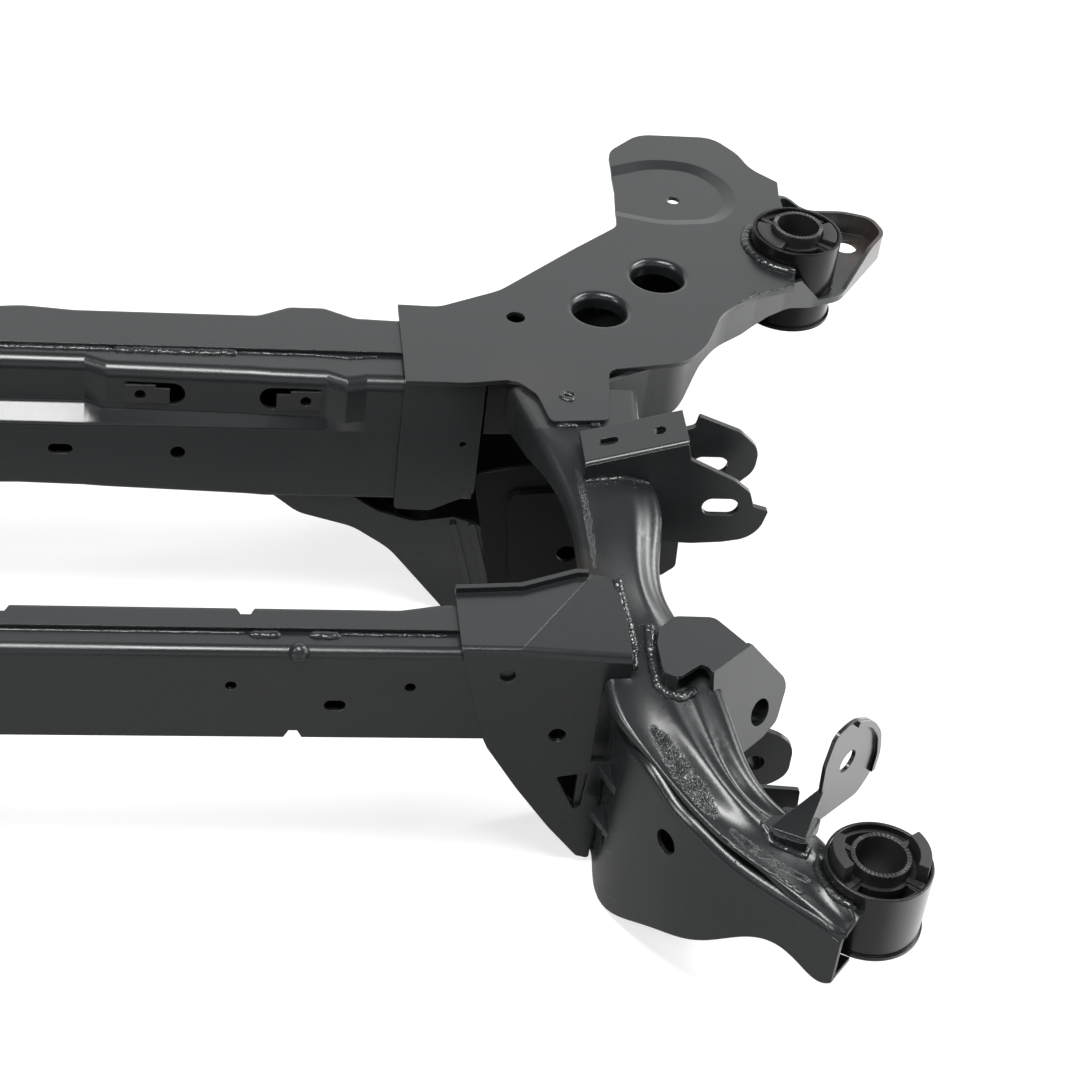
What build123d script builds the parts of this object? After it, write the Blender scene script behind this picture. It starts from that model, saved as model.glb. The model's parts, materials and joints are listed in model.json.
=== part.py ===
from build123d import *
from math import atan2, cos, hypot, pi, sin, tan
import os

os.makedirs("parts", exist_ok=True)

# Driving sizes in millimetres.
# Working frame: X across the vehicle, Y to the rear from the front bushing axes, Z up.
SHEET = 3.0              # main pressings
BEND = 7.0               # outer bend radius of the channels
FOLD = 4.5               # tighter bend of the closing plates
GAP = 0.2                # clearance between welded neighbours
FLOOR_Z = 21.0           # lowest edge of the outer plates and pocket walls
FRONT_Y = -47.0          # foremost point of the arms
REAR_Y = 687.0           # rearmost point of the wings

CAN_RADIUS = 32.0        # bushing outer can
CAN_WALL = 2.4
FRONT_CAN_HEIGHT = 48.0
REAR_CAN_HEIGHT = 64.0
CAN_RING = 1.4           # how far the ring at the can's lower end stands out, and its height
CAN_RING_HEIGHT = 2.5
SLEEVE_RADIUS = 17.75    # bushing inner sleeve
BORE_RADIUS = 15.1
SLEEVE_PROUD = 5.0       # sleeve end above the can's rim
FRONT_BUSH = (503.5, 0.0, 155.0)      # rim centre
REAR_BUSH = (537.9, 540.7, 237.0)

FRONT_MEMBER_FACE = 132.0    # front crossmember: face, rear and height
FRONT_MEMBER_REAR = 170.0
FRONT_MEMBER_TOP = 195.0
FRONT_MEMBER_BOTTOM = 124.0
FRONT_SEAM = 150.0
CAP_EDGE = 269.0             # inboard edge of the front corner plates
FRONT_MEMBER_HALF = CAP_EDGE + 45    # the member's ends lie hidden under them

REAR_MEMBER_FACE = 368.0     # rear crossmember
REAR_MEMBER_REAR = 438.0
REAR_MEMBER_TOP = 222.0
REAR_MEMBER_BOTTOM = 121.5
REAR_SEAM = 397.0
CLIP_Z = 200.0               # height of the clip nuts
CORNER_EDGE = 301.0          # outboard edge of the rear corner plates, where the pocket walls begin
PLATE_TOP = REAR_MEMBER_TOP + SHEET    # rear upper plate's top
SHELL_FLOOR = 180.0          # underside of the rear lower shell, over the pocket walls

RAIL_HIGH = (309.0, REAR_MEMBER_TOP - GAP)    # side rail's top line: (y, z) where it starts to fall
RAIL_LOW = (5.0, 145.0)                       # and where it runs level again

LINK_BOLT_Z = 194.0      # upper link: bolt height, ear planes, plate thickness
LINK_NEAR_EAR = 275.0
LINK_GAP = 40.0
EAR_SHEET = 4.0
LINK_FAR_EAR = LINK_NEAR_EAR + EAR_SHEET + LINK_GAP
FLAP_HOLE = 9.0          # lower link: bolt holes of the flap and the ear, weld nuts behind them
EAR_HOLE = 6.2
NUT_HEIGHT = 12.0


# Helpers for outlines and folded sheet
def arc_mid(a, b, centre, radius):
    """Point on the arc from a to b, half way, on the side away from the centre."""
    mid = ((a[0] + b[0]) / 2 - centre[0], (a[1] + b[1]) / 2 - centre[1])
    length = hypot(*mid)
    return (centre[0] + mid[0] * radius / length, centre[1] + mid[1] * radius / length)


def path_edges(points, closed):
    """Lines through the corner points; a corner's third value is its radius."""
    count = len(points)
    stops = []
    for i, p in enumerate(points):
        radius = p[2] if len(p) > 2 else 0
        a, b = points[i - 1], points[(i + 1) % count]
        ua = (a[0] - p[0], a[1] - p[1])
        ub = (b[0] - p[0], b[1] - p[1])
        la, lb = hypot(*ua), hypot(*ub)
        ua, ub = (ua[0] / la, ua[1] / la), (ub[0] / lb, ub[1] / lb)
        end_point = not closed and i in (0, count - 1)
        if radius <= 0 or end_point or abs(ua[0] * ub[1] - ua[1] * ub[0]) < 0.01:
            stops.append((p[:2], None, p[:2]))
            continue
        half = abs(atan2(ua[0] * ub[1] - ua[1] * ub[0], ua[0] * ub[0] + ua[1] * ub[1])) / 2
        run = radius / tan(half)
        start = (p[0] + ua[0] * run, p[1] + ua[1] * run)
        end = (p[0] + ub[0] * run, p[1] + ub[1] * run)
        bis = (ua[0] + ub[0], ua[1] + ub[1])
        scale = radius / sin(half) / hypot(*bis)
        centre = (p[0] + bis[0] * scale, p[1] + bis[1] * scale)
        stops.append((start, arc_mid(start, end, centre, radius), end))
    edges = []
    for i, (start, mid, end) in enumerate(stops):
        if mid:
            edges.append(ThreePointArc(start, mid, end))
        if closed or i < count - 1:
            after = stops[(i + 1) % count][0]
            if hypot(after[0] - end[0], after[1] - end[1]) > 1e-4:
                edges.append(Line(end, after))
    return edges


def outline(points):
    """Closed flat face with rounded corners."""
    return make_face(path_edges(points, True))


def all_round(points, radius):
    """The same corner radius on every corner."""
    return [(x, y, radius) for x, y in points]


def plan_block(points, low, high):
    """Outline in plan (x, y), extruded from one height to another."""
    return extrude(Pos(0, 0, low) * outline(points), high - low)


def front_block(points, near, far):
    """Outline seen from the front (x, z), extruded from y = near to y = far."""
    view = Plane(origin=(0, far, 0), x_dir=(1, 0, 0), z_dir=(0, -1, 0))
    return extrude(view * outline(points), far - near)


def side_block(points, left, right):
    """Outline seen from the side (y, z), extruded from x = left to x = right."""
    view = Plane(origin=(left, 0, 0), x_dir=(0, 1, 0), z_dir=(1, 0, 0))
    return extrude(view * outline(points), right - left)


def drill_y(x, z, radius, near, far):
    """Round cutter along Y."""
    return Pos(x, (near + far) / 2, z) * Rot(90, 0, 0) * Cylinder(radius, far - near)


def slot_y(x, z, length, width, near, far):
    """Cutter for a level slot through a plate that faces forward."""
    shape = SlotOverall(length, width)
    view = Plane(origin=(x, far, z), x_dir=(1, 0, 0), z_dir=(0, -1, 0))
    return extrude(view * shape, far - near)


def drill_z(x, y, radius, low, high):
    """Round cutter along Z."""
    return Pos(x, y, (low + high) / 2) * Cylinder(radius, high - low)


def rail_height(y):
    """Height of the side rail's top line at a given y."""
    (y_high, z_high), (y_low, z_low) = RAIL_HIGH, RAIL_LOW
    share = min(max((y - y_low) / (y_high - y_low), 0), 1)
    return z_low + share * (z_high - z_low)


def station(left, right):
    """Point maker for a cross-section standing on the plan line from left to right."""
    span = hypot(right[0] - left[0], right[1] - left[1])
    ux, uy = (right[0] - left[0]) / span, (right[1] - left[1]) / span
    return lambda s, z: Vector(left[0] + ux * s, left[1] + uy * s, z), span


# Bushings: can, rubber and sleeve share one set of sizes
def bush_can(height):
    r, w, h = CAN_RADIUS, CAN_WALL, height
    wall = Pos(0, 0, -h / 2) * (Cylinder(r, h) - Cylinder(r - w, h))
    wall = fillet(wall.edges().group_by(Axis.Z)[-1], 0.8)
    ring = Pos(0, 0, -h + CAN_RING_HEIGHT / 2) * (
        Cylinder(r + CAN_RING, CAN_RING_HEIGHT) - Cylinder(r - w, CAN_RING_HEIGHT))
    return wall + ring


def bush_rubber(snubbers, height):
    """Bonded rubber: two kidney voids front and rear, snubbers or ribs on top."""
    outer, inner = CAN_RADIUS - CAN_WALL - GAP / 2, SLEEVE_RADIUS + GAP / 2
    top, low = -4.0, 4.0 - height
    body = Pos(0, 0, (top + low) / 2) * (Cylinder(outer, top - low) - Cylinder(inner, top - low))
    for side in (90, 270):
        void = Cylinder(outer - 2.6, 3 * height) - Cylinder(inner + 2.4, 3 * height)
        wedge = Rot(0, 0, side) * extrude(
            make_face(Polyline((0, 0), (60, 52), (60, -52), close=True)), 80, both=True)
        body -= void & wedge
    if snubbers:
        for turn in (0, 180):
            horn = Pos(0, 0, 2) * (Cylinder(outer - 0.8, 14) - Cylinder(inner + 4.2, 14))
            wedge = Rot(0, 0, turn) * extrude(
                make_face(Polyline((0, 0), (60, 36), (60, -36), close=True)), 60, both=True)
            body += horn & wedge
    for turn in (40, 140, 220, 320):
        body += Rot(0, 0, turn) * Pos((outer + inner) / 2, 0, -6.4) * Box(outer - inner - 0.4, 3.4, 8)
    return body


def bush_sleeve(height):
    top, low = SLEEVE_PROUD, 1 - height
    tube = Pos(0, 0, (top + low) / 2) * (
        Cylinder(SLEEVE_RADIUS, top - low) - Cylinder(BORE_RADIUS, top - low))
    mid = (SLEEVE_RADIUS + BORE_RADIUS) / 2
    tooth = Pos(mid, 0, top) * Rot(45, 0, 0) * Box(SLEEVE_RADIUS - BORE_RADIUS + 1, 0.9, 0.9)
    return tube - [Rot(0, 0, i * 360 / 40) * tooth for i in range(40)]


def can_cutter(bush, height):
    """Clearance round a bushing can and its ring."""
    x, y, z = bush
    ring_top = z - height + CAN_RING_HEIGHT + GAP
    return drill_z(x, y, CAN_RADIUS + GAP, z - 90, z + 60) + drill_z(
        x, y, CAN_RADIUS + CAN_RING + GAP, z - 90, ring_top)


# Front crossmember: a bent front plate and the channel that closes it from behind
def front_channel():
    """Front plate with its top lip; the lower edge is cut straight and stands below the channel's lip."""
    top, low = FRONT_MEMBER_TOP - SHEET, FRONT_MEMBER_BOTTOM
    face, back, half = FRONT_MEMBER_FACE, FRONT_SEAM + 6, FRONT_MEMBER_HALF
    outside = side_block([(back, low), (back, top), (face, top, BEND), (face, low)], -half, half)
    under, behind = top - SHEET, face + SHEET
    inside = side_block([(back + 1, low - 1), (back + 1, under), (behind, under, BEND - SHEET),
                         (behind, low - 1)], -half - 1, half + 1)
    body = outside - inside
    for side in (-1, 1):
        dart = Pos(side * 174, face + 1.6, top - 1.6) * Sphere(6.2)
        body += dart - outside - Pos(side * 174, face + 6, top - 6) * Box(20, 8, 8)
        body -= drill_y(side * 135, 165, 3.4, face - 5, face + 10)
        body -= drill_y(side * 241, 165, 3.4, face - 5, face + 10)
        body -= slot_y(side * 197, 150, 13, 8, face - 5, face + 10)
        body -= front_block([(side * 173 - 6, low - 1), (side * 173 - 2.5, low + 5.5),
                             (side * 173 + 2.5, low + 5.5), (side * 173 + 6, low - 1)], face - 5, back + 5)
    return body


def front_closing_plate():
    """Channel open to the front; its rear wall flares toward the corner plates."""
    top, low = FRONT_MEMBER_TOP, FRONT_MEMBER_BOTTOM + SHEET
    near, seam, half = FRONT_MEMBER_FACE + SHEET + GAP, FRONT_SEAM, FRONT_MEMBER_HALF

    def block(inset):
        back = FRONT_MEMBER_REAR - inset
        flare = [(CAP_EDGE - 6, back + 6), (CAP_EDGE - 34, back)]
        edge = [(half, back + 6)] + [(x, y, 20) for x, y in flare]
        edge += [(-x, y, 20) for x, y in flare[::-1]] + [(-half, back + 6)]
        body = plan_block([(-half, near - inset), (half, near - inset)] + edge, low + inset, top - inset)
        return fillet(body.edges().filter_by(lambda e: e.center().Y > back - 2
                                             and abs(e.tangent_at(0.5).Z) < 0.1
                                             and abs(e.center().X) < half - 1), FOLD - inset)

    body = block(0) - block(SHEET) - side_block([(near - 2, top - 10), (seam, top - 10), (seam, top + 1),
                                                 (near - 2, top + 1)], -half - 1, half + 1)
    back = FRONT_MEMBER_REAR
    for x in (-143, 0, 143):
        body -= plan_block([(x - 7, back + 1), (x - 3, back - 8), (x + 3, back - 8),
                            (x + 7, back + 1)], top - 14, top + 1)
    return body


# Rear crossmember: stepped face drawn through cross-sections
REAR_STEPS = [(0, 382, 6.5), (42, 382, 5.5), (56, 375, 4.5), (148, 373, 1), (161, 372, 0),
              (198, 371, 0), (211, 364, 0), (224, 367.5, 0), (300, 367.5, 0)]


def rear_channel():
    top, back = REAR_MEMBER_TOP - SHEET, REAR_SEAM + 6

    def section(x, upper, low, inset):
        face = REAR_MEMBER_FACE + inset
        low += REAR_MEMBER_BOTTOM
        r = BEND + 2 - inset
        pts = [(back + inset, low + inset), (back + inset, top - inset),
               (upper + inset, top - inset, r), (upper + inset, 187 - inset / 3, 4),
               (face, 178 - inset / 3, 4), (face, low + inset, 3.5 - inset)]
        view = Plane(origin=(x, 0, 0), x_dir=(0, 1, 0), z_dir=(1, 0, 0))
        return view * outline(pts)

    def block(inset):
        right = [section(*step, inset) for step in REAR_STEPS]
        left = [section(-x, upper, low, inset) for x, upper, low in REAR_STEPS[:0:-1]]
        return loft(left + right, ruled=True)

    body = block(0) - block(SHEET)
    near, far = 355, 390
    for side in (-1, 1):
        body -= slot_y(side * 27, 158, 16, 8, near, far)
        body -= drill_y(side * 103, 157, 5, near, far)
        for flat_end, round_end in ((70, 107), (193, 155)):
            turn = 1 if round_end > flat_end else -1
            centre, z, half = round_end - turn * 8.5, CLIP_Z, 8.5
            cut = front_block([(side * flat_end, z - half), (side * flat_end, z + half),
                               (side * centre, z + half), (side * centre, z - half)], near, far)
            body -= cut + drill_y(side * centre, z, half, near, far)
    return body


def rear_closing_plate():
    top, seam, half = REAR_MEMBER_TOP, REAR_SEAM, 300.0
    low = REAR_MEMBER_BOTTOM - SHEET - GAP

    def block(inset):
        back = REAR_MEMBER_REAR - inset
        bulge = [(219, back), (199, back + 11), (175, back + 11), (154, back)]
        edge = [(half, back - 4)] + [(x, y, 12) for x, y in bulge] + [(34, back, 40), (0, back + 4, 60)]
        edge += [(-34, back, 40)] + [(-x, y, 12) for x, y in bulge[::-1]] + [(-half, back - 4)]
        body = plan_block([(-half, seam - inset), (half, seam - inset)] + edge, low + inset, top - inset)
        return fillet(body.edges().filter_by(lambda e: e.center().Y > back - 5
                                             and abs(e.tangent_at(0.5).Z) < 0.1
                                             and abs(e.center().X) < half - 1), FOLD - inset)

    return block(0) - block(SHEET)


def clip_nuts():
    """Four folded clips: front leaf with a narrow tongue, nut behind it in the slot."""
    clips = Part()
    z = CLIP_Z
    for hole_x, turn, face in ((78, 1, 374.0), (185, -1, 371.0)):
        leaf = front_block(all_round([(hole_x - turn * 10, z - 7), (hole_x - turn * 10, z + 7.5),
                                      (hole_x + turn * 10, z + 7.5)], 0.6)
                           + [(hole_x + turn * 10, z + 5), (hole_x + turn * 19, z + 5),
                              (hole_x + turn * 19, z - 7)], face - 1.5, face - 0.1)
        nut = drill_y(hole_x, z, 6.2, face - 1.2, face + 9)
        clip = leaf + nut - drill_y(hole_x, z, 3.6, face - 20, face + 20)
        clips += [clip, mirror(clip, Plane.YZ)]
    return clips


# Rear corner: upper plate, lower shell, corner plate, pocket wall and gusset
PLATE_EDGE = [
    (248, 361), (248, 449), (276, 448, 20), (319, 470, 40), (377, 526, 30), (411, 557, 14),
    (416, 610, 60), (417, 660, 22), (443, 687, 24), (500, 687, 20), (516, 664, 40), (522, 644, 36),
    (540, 626, 2), (538, 608), (538, 560), (520, 541), (533, 509), (528, 486), (500, 474, 60),
    (471, 452, 50), (455, 412, 60), (438, 391, 30), (404, 384, 18), (384, 380, 8), (377, 324, 7),
    (339, 321, 5),
    (333, 350, 16), (320, 366, 12), (290, 361, 20)]
WING_DISH = [(404, 634), (448, 653, 60), (484, 648, 40), (504, 620, 44), (505, 588, 38),
             (486, 566, 34), (446, 561, 60), (404, 574)]
DRAWN_HOLES = [(432, 495), (386, 451)]
DRAWN_RADIUS = 18.0


def drawn_collar(x, y):
    """Hole pulled down from the plate: a bend and a short neck, turned round the hole's axis."""
    inner, r = DRAWN_RADIUS, 5.0
    top = PLATE_TOP
    pts = [(inner, top - 11), (inner + SHEET, top - 11), (inner + SHEET, top - r, 0),
           (inner + r, top - SHEET), (inner + r + 1, top - SHEET), (inner + r + 1, top),
           (inner + r, top)]
    neck = Polyline(*pts)
    bend = ThreePointArc((inner + r, top), (inner + r * 0.293, top - r * 0.293), (inner, top - r))
    shape = make_face([neck, bend, Line((inner, top - r), (inner, top - 11))])
    view = Plane(origin=(0, 0, 0), x_dir=(1, 0, 0), z_dir=(0, -1, 0))
    return Pos(x, y, 0) * revolve(view * shape, Axis.Z)


def upper_plate():
    low, top = REAR_MEMBER_TOP, PLATE_TOP
    blank = plan_block(PLATE_EDGE, low, top)
    dish = extrude(Pos(0, 0, top) * outline(WING_DISH), -2.4, taper=76)
    body = blank + (Pos(0, 0, -SHEET) * dish & plan_block(PLATE_EDGE, low - 20, top)) - dish
    body -= can_cutter(REAR_BUSH, REAR_CAN_HEIGHT)
    for x, y in DRAWN_HOLES:
        body -= drill_z(x, y, DRAWN_RADIUS + 5.5, low - 9, top + 9)
        body += drawn_collar(x, y)
    body -= drill_z(327, 438, 6.4, low - 9, top + 9)
    body -= drill_z(458, 599, 4.8, low - 9, top + 9)
    body -= drill_z(354, 351, 3.2, low + 1.4, top + 9)
    return body


SHELL_EDGE = [
    (303, 366), (380, 369), (412, 386, 10), (438, 396, 32), (455, 428, 60), (470, 451, 60),
    (500, 475, 28), (524, 492, 20), (550, 507, 30), (571, 515, 24), (615, 579, 16), (609, 600, 15),
    (588, 607, 30), (562, 606, 12), (544, 622, 8), (521, 585, 10), (458, 545, 30),
    (397, 530, 20), (350, 492, 30), (303, 456)]


def lower_shell():
    def block(inset, high):
        inward = [(303 + inset, 366 + inset)] + list(SHELL_EDGE[1:-1]) + [(303 + inset, 456 - inset)]
        face = outline(inward if inset == 0 else SHELL_EDGE)
        if inset:
            face = offset(face, -inset)
        walls = extrude(Pos(0, 0, 180) * face, 60)
        low = SHELL_FLOOR + inset
        side = front_block([(290, low, 0), (436, low, 12), (456, low + 16, 16), (492, low + 16, 20),
                            (512, low + 21, 10), (530, low + 21, 10), (548, low + 15, 10),
                            (640, low + 15), (640, high[1]), (556, high[1], 8),
                            (536, high[0], 8), (290, high[0])], 340, 640)
        return walls & side

    body = block(0, (REAR_MEMBER_TOP - GAP, 214)) - block(SHEET, (240, 240))
    low_rim = SHELL_FLOOR + 20
    front_rim = front_block([(536, REAR_MEMBER_TOP), (554, low_rim), (640, low_rim), (640, 240),
                             (536, 240)], 440, 560)
    body -= front_rim & side_block([(440, low_rim), (524, low_rim), (560, 215), (560, 240),
                                    (440, 240)], 530, 640)
    body -= can_cutter(REAR_BUSH, REAR_CAN_HEIGHT)
    body -= drill_z(588, 584, 9, 190, 230)
    return body


def rear_corner_plate():
    near = REAR_MEMBER_FACE - SHEET - 0.7
    body = front_block([(248, REAR_MEMBER_TOP - GAP), (248, 117, 3), (272, 116, 8), (CORNER_EDGE, 131, 4),
                        (CORNER_EDGE, REAR_MEMBER_TOP - GAP)], near, near + SHEET)
    body -= drill_y(290, 172, 2.4, near - 5, near + 9)
    return body


def pocket_rear_wall():
    near, left, top = REAR_MEMBER_FACE - 2, CORNER_EDGE + GAP, SHELL_FLOOR - GAP
    shape = [(324, FLOOR_Z, 6), (372, FLOOR_Z, 14), (395, 60, 20), (395, top), (353, top), (346, 157, 4),
             (left, 146, 4), (left, 138, 10)]
    body = front_block(shape, near, near + SHEET)
    panel = [(333, 46), (386, 62), (386, 138), (324, 132)]
    raised = front_block(all_round(panel, 8), near - 4, near)
    hollow = front_block(all_round([(336, 50), (383, 65), (383, 135), (327, 129)], 6),
                         near - 4 + SHEET, near + 9)
    body = body + raised - hollow
    return body - drill_y(369.5, 82, 7, near - 9, near + 9)


def lower_gusset():
    near = REAR_MEMBER_FACE + 4
    low = REAR_MEMBER_BOTTOM - GAP
    shape = [(166, low), (184, 106, 30), (222, 94.5, 40), (248, 76, 60), (291, FLOOR_Z, 8), (332, FLOOR_Z, 6),
             (312, 96, 4), (290, 104.5, 4), (264, 100, 24), (238, 108, 20), (220, low, 4)]
    body = front_block(shape, near, near + SHEET)
    for x in (290, 303):
        rib = [(x - 2.4, 100), (x + 2.4, 100), (x + 18.4, 42), (x + 13.6, 42)]
        body += front_block(all_round(rib, 1.8), near - SHEET + GAP, near)
    return body


def pocket_back_wall():
    """Pan that closes the leg below the rear crossmember and the pocket from behind."""
    near, far = 404.0, 428.0
    low, top = REAR_MEMBER_BOTTOM - SHEET - 2 * GAP, SHELL_FLOOR - GAP

    def pan(inset, front, back):
        left, right, floor = CORNER_EDGE + GAP + inset, 395 - inset, FLOOR_Z + inset
        shape = [(190 + inset, low - inset), (222, 92 + inset, 40), (248, 74 + inset, 60),
                 (291 + inset, floor, 8), (372, floor, 14), (right, 60, 20), (right, top - inset),
                 (left, top - inset), (left, low - inset)]
        return front_block(shape, front, back)

    return pan(0, near, far) - pan(SHEET, near - 1, far - SHEET)


# Side rail: a pressing drawn through cross-sections from the upper plate to the front bushing.
# Columns: left edge, right edge, left radius, left depth, crown, valley, rim, right depth
RAIL = [
    ((316, 362), (401, 362), 6, 32, 0.0, 0.0, 0.0, 18),
    ((327, 318), (398, 318), 6, 26, 0.0, 0.0, 0.0, 18),
    ((337, 286), (398, 286), 6, 15, 0.5, 0.5, 0.0, 18),
    ((345, 254), (404, 256), 6, 10, 6.0, 6.5, 3.0, 20),
    ((348, 218), (400, 222), 6, 9, 6.5, 7.5, 4.0, 20),
    ((350, 182), (400, 188), 6, 9, 4.0, 6.0, 3.0, 20),
    ((355, 146), (417, 152), 6, 9, 3.0, 2.0, 2.0, 18),
    ((361, 108), (430, 108), 4, 7, 5.0, 1.0, 4.0, 18),
    ((377, 80), (436, 74), 1.2, 3.4, 7.0, 1.0, 5.0, 18),
    ((394, 52), (445, 52), 1.2, 3.4, 6.5, 1.0, 5.0, 18),
    ((417, 20), (462, 38), 1.2, 3.4, 3.0, 0.6, 2.0, 16),
    ((441, -5), (477, 28), 1.2, 3.4, 0.6, 0.4, 0.0, 14),
    ((477, -47), (501, -16), 1.2, 3.4, 0.4, 0.4, 0.0, 14)]
RAIL_RIM = 6.0


def rail_block(inset, below):
    """Solid under the rail's skin, set in by the sheet for the hollow; below deepens it."""
    sections = []
    for left, right, edge, depth, crown, valley, rim, drop in RAIL:
        point, span = station(left, right)
        base = rail_height((left[1] + right[1]) / 2) - inset
        r_left = max(edge - inset, 0.5)
        r_right = max(RAIL_RIM - inset, 0.5)
        start, end = inset, span - inset
        width = end - start
        rise = base + rim
        low_left = base + inset - depth - below
        low_right = base + inset + rim - drop - below
        k = 1 - cos(pi / 4)
        a, b = point(start, base - r_left), point(start + r_left, base)
        c, d = point(end - r_right, rise), point(end, rise - r_right)
        top = Spline(b, point(start + 0.30 * width, base + crown * 0.45),
                     point(start + 0.52 * width, base + crown), point(start + 0.72 * width, base + valley),
                     c, tangents=(b - a + Vector(0, 0, a.Z - b.Z), c - b + Vector(0, 0, b.Z - c.Z)))
        edges = [
            Line(point(start, low_left), a),
            ThreePointArc(a, point(start + k * r_left, base - k * r_left), b),
            top,
            ThreePointArc(c, point(end - k * r_right, rise - k * r_right), d),
            Line(d, point(end, low_right)),
            Line(point(end, low_right), point(start, low_left))]
        sections.append(Face(Wire(edges)))
    return loft(sections[:2], ruled=True) + loft(sections[1:])


def side_rail():
    body = rail_block(0, 0) - rail_block(SHEET, 25)
    return body - can_cutter(FRONT_BUSH, FRONT_CAN_HEIGHT)


def rail_closing_plate():
    """Sloping plate inside the rail, from the inboard lip down to the outboard wall."""
    sections = []
    inner = SHEET + 2.8
    for left, right, edge, depth, crown, valley, rim, drop in RAIL[1:7]:
        point, span = station(left, right)
        base = rail_height((left[1] + right[1]) / 2)
        out = span - inner
        corners = [(inner, base - depth - 1), (out, base - 38), (out, base - 13), (out - 2.6, base - 13),
                   (out - 2.6, base - 34), (inner, base - depth + 2)]
        ring = [point(s, z) for s, z in corners]
        sections.append(Face(Wire(Polyline(*ring, close=True))))
    return loft(sections, ruled=True)


# Front corner: cap and inner plate in one, outer plate, lower channel of the arm
def corner_plate():
    top, face = FRONT_MEMBER_TOP + SHEET, FRONT_MEMBER_FACE - SHEET
    front_view = [(CAP_EDGE, top), (288, 126, 3), (291, 119), (312, 85.5, 90), (335, 52.5, 90),
                  (356, 26.5, 4), (364.5, 24, 2), (364.5, 153), (372, 161), (372, top)]
    plan = [(CAP_EDGE, face), (372, face), (374, 150), (368, 200, 3), (344, 201), (309, 187), (CAP_EDGE, 184)]

    def block():
        body = front_block(front_view, face, 240) & plan_block(plan, 0, 300)
        slope = Plane(origin=(300, face, top), x_dir=(53, 71, 0),
                      z_dir=Vector(53, 71, 0).cross(Vector(72, 5, -5)) * -1)
        wedge = slope * Pos(0, 0, 60) * Box(400, 400, 120)
        body -= wedge & plan_block([(300, face - 5), (420, face - 5), (420, 300), (375, 229)], 150, 300)
        for spot, radius in (((338, face, 190), 5), ((286, face, top), 4.5)):
            body = fillet(body.edges().sort_by_distance(spot)[0], radius)
        return body

    shape = block()
    body = shape - Pos(0, SHEET, -SHEET) * shape - Pos(0, 2 * SHEET, -2 * SHEET) * shape
    lip = plan_block([(CAP_EDGE, 184), (309, 187), (344, 201), (352, 201), (352, 197.5), (345, 197.5),
                      (310, 183.5), (CAP_EDGE, 180.5)], top - 1, top + 4)
    skirt = [(372, face), (374, 150), (368, 200), (365, 200), (371, 150), (369, face)]
    body += lip + (shape & plan_block(skirt, 165, top))
    body -= drill_y(298, 178, 4.9, face - 5, face + 9)
    body -= drill_y(333, 130, 5.4, face - 5, face + 9)
    body -= front_block(all_round([(336, 95), (356, 99), (354, 69), (350, 67)], 1.6), face - 5, face + 9)
    return body - rail_block(-GAP, 60)


def corner_back_plate():
    """Rear wall of the front corner's box, with a lip forward along its slanted lower edge."""
    near = FRONT_MEMBER_REAR + 6 + GAP
    front = FRONT_MEMBER_FACE + SHEET + 2 * GAP
    slant = [(291, 118), (313, 84.5, 60), (336, 51.5, 60), (357, 25.5, 5), (404, 24)]
    inner = [(404, 27), (358.5, 28.5, 3), (339, 53.5, 60), (316, 86.5, 60), (294, 120)]
    body = front_block([(285, 146, 6)] + slant + [(404, 146)], near, near + SHEET)
    return body + front_block(slant + inner, front, near)


ARM_WALL = [  # skin point in plan, lower edge height, drop of the upper edge below the rail's underside
    ((366, 134), 26, 24), ((366, 120), 23.5, 19), ((366, 106), FLOOR_Z, 14), ((371, 85), 24, 3),
    ((382, 62), 38, 0),
    ((397, 37), 55, 0), ((414, 16), 71, 0), ((434, -5), 97, 0), ((446, -17), 105, 0),
    ((459, -30), 102, 0), ((475, -46), 103, 0)]


def arm_stations():
    """For each wall point: point maker square to the wall, lower edge, upper edge."""
    spots = [p for p, low, drop in ARM_WALL]
    for i, (spot, low, drop) in enumerate(ARM_WALL):
        a, b = spots[max(i - 1, 0)], spots[min(i + 1, len(spots) - 1)]
        along = hypot(b[0] - a[0], b[1] - a[1])
        square = (spot[0] - (b[1] - a[1]) / along, spot[1] + (b[0] - a[0]) / along)
        yield station(spot, square)[0], low, rail_height(spot[1]) - SHEET - 0.5 - GAP - drop


def outer_plate():
    sections = []
    flange, r = 14.0, 7.0
    k = 1 - cos(pi / 4)
    for point, low, top in arm_stations():
        t, q = SHEET, r - SHEET
        sections.append(Face(Wire([
            Line(point(0, low), point(0, top - r)),
            ThreePointArc(point(0, top - r), point(k * r, top - k * r), point(r, top)),
            Line(point(r, top), point(flange, top)),
            Line(point(flange, top), point(flange, top - t)),
            Line(point(flange, top - t), point(r, top - t)),
            ThreePointArc(point(r, top - t), point(t + k * q, top - t - k * q), point(t, top - r)),
            Line(point(t, top - r), point(t, low)),
            Line(point(t, low), point(0, low))])))
    body = loft(sections)
    back = FRONT_MEMBER_FACE + GAP
    body += front_block([(350, 60), (350, 162, 4), (368, 166), (368, 28), (358, 34)],
                        back, back + SHEET)
    for z in (74, 112):
        body += plan_block([(367, 125), (359, 118), (367, 98)], z - 2.5, z + 2.5)
    body -= front_block(all_round([(364, 60), (371, 60), (371, 74), (364, 74)], 1.5), 104, 108)
    body -= Pos(390, 48, 121) * Rot(0, 0, -60) * Rot(90, 0, 0) * Cylinder(8.2, 30)
    return body - rail_block(-GAP, 0)


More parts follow.
